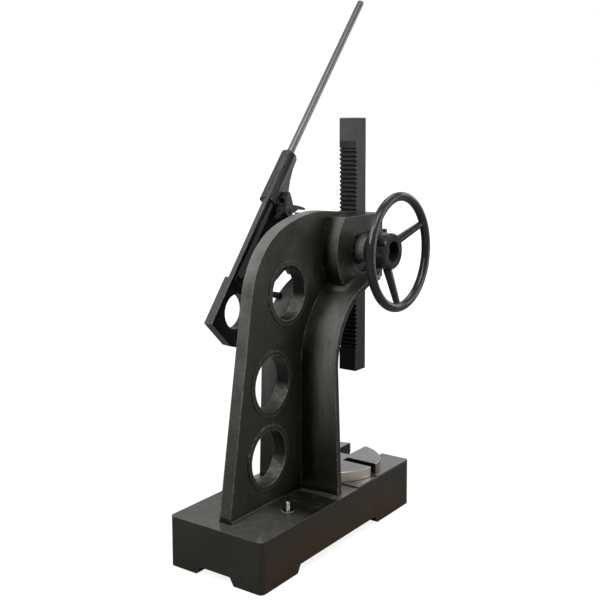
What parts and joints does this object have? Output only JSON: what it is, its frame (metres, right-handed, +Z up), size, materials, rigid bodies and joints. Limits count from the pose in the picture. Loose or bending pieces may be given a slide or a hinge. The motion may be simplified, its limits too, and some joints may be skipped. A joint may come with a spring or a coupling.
{
  "type": "manual ratchet press",
  "caption": "Bench arbor press: C-shaped cast frame, rack ram driven by a pinion, a handwheel, a ratchet lever with a long bar, and a slotted turning table on a forked base.",
  "frame": {"origin": "centre of the table's top face, on the table's turning axis", "axes": "+Z up, out of the table's top; +Y back to the column; -Y is the ram's and the worker's side; +X is the lever's side and -X the handwheel's side"},
  "size_m": [0.3789, 0.8769, 1.369],
  "materials": {
    "frame_casting": "satin black paint over a sand-cast skin",
    "ram_cover": "satin black paint",
    "cover_screws": "black oxide",
    "jack_screws": "black oxide, worn corners",
    "jack_nuts": "black oxide",
    "bush_left": "turned bronze",
    "bush_right": "turned bronze",
    "table_pin": "turned steel",
    "anchor_studs": "zinc plated",
    "ram": "blackened, lightly oiled",
    "pinion_shaft": "machined steel",
    "handwheel": "gloss black enamel",
    "handwheel_key": "key steel",
    "handwheel_washer": "black oxide",
    "handwheel_bolt": "black oxide",
    "ratchet_wheel": "dark machined steel",
    "ratchet_key": "key steel",
    "shaft_washer": "turned steel",
    "shaft_bolt": "black oxide",
    "lever_casting": "gloss black enamel",
    "lever_bush": "turned bronze",
    "lever_bar": "bright drawn steel",
    "bar_screw": "black oxide",
    "stop_pin": "dark turned steel",
    "pawl_pin": "turned steel",
    "pawl_clip": "spring steel",
    "pawl": "blackened forging",
    "table_plate": "ground top, turned rim"
  },
  "bodies": {
    "frame": {"frame_casting": "frame_casting", "ram_cover": "ram_cover", "cover_screws": "cover_screws", "jack_screws": "jack_screws", "jack_nuts": "jack_nuts", "bush_left": "bush_left", "bush_right": "bush_right", "table_pin": "table_pin", "anchor_studs": "anchor_studs"},
    "ram": {"ram": "ram"},
    "pinion": {"pinion_shaft": "pinion_shaft", "handwheel": "handwheel", "handwheel_key": "handwheel_key", "handwheel_washer": "handwheel_washer", "handwheel_bolt": "handwheel_bolt", "ratchet_wheel": "ratchet_wheel", "ratchet_key": "ratchet_key", "shaft_washer": "shaft_washer", "shaft_bolt": "shaft_bolt"},
    "lever": {"lever_casting": "lever_casting", "lever_bush": "lever_bush", "lever_bar": "lever_bar", "bar_screw": "bar_screw", "stop_pin": "stop_pin", "pawl_pin": "pawl_pin", "pawl_clip": "pawl_clip"},
    "pawl": {"pawl": "pawl"},
    "table": {"table_plate": "table_plate"}
  },
  "joints": [
    {"name": "ram_slide", "type": "slide", "parent": "frame", "child": "ram", "axis": [0, 0, 1], "range_m": [-0.21097, 0.22808]},
    {"name": "pinion_spin", "type": "hinge", "parent": "frame", "child": "pinion", "pos_m": [0, -0.04276, 0.544], "axis": [1, 0, 0], "range_deg": [-605, 560]},
    {"name": "lever_swing", "type": "hinge", "parent": "frame", "child": "lever", "pos_m": [0.1645, -0.04276, 0.544], "axis": [1, 0, 0], "range_deg": [0, 90]},
    {"name": "pawl_swing", "type": "hinge", "parent": "lever", "child": "pawl", "pos_m": [0.141, 0.02477, 0.63832], "axis": [1, 0, 0], "range_deg": [0, 7.9]},
    {"name": "table_turn", "type": "hinge", "parent": "frame", "child": "table", "pos_m": [0, 0, -0.013], "axis": [0, 0, 1], "continuous": true}
  ],
  "couplings": [
    {"joint": "pinion_spin", "follows": "ram_slide", "rad_per_m": -45.914}
  ]
}
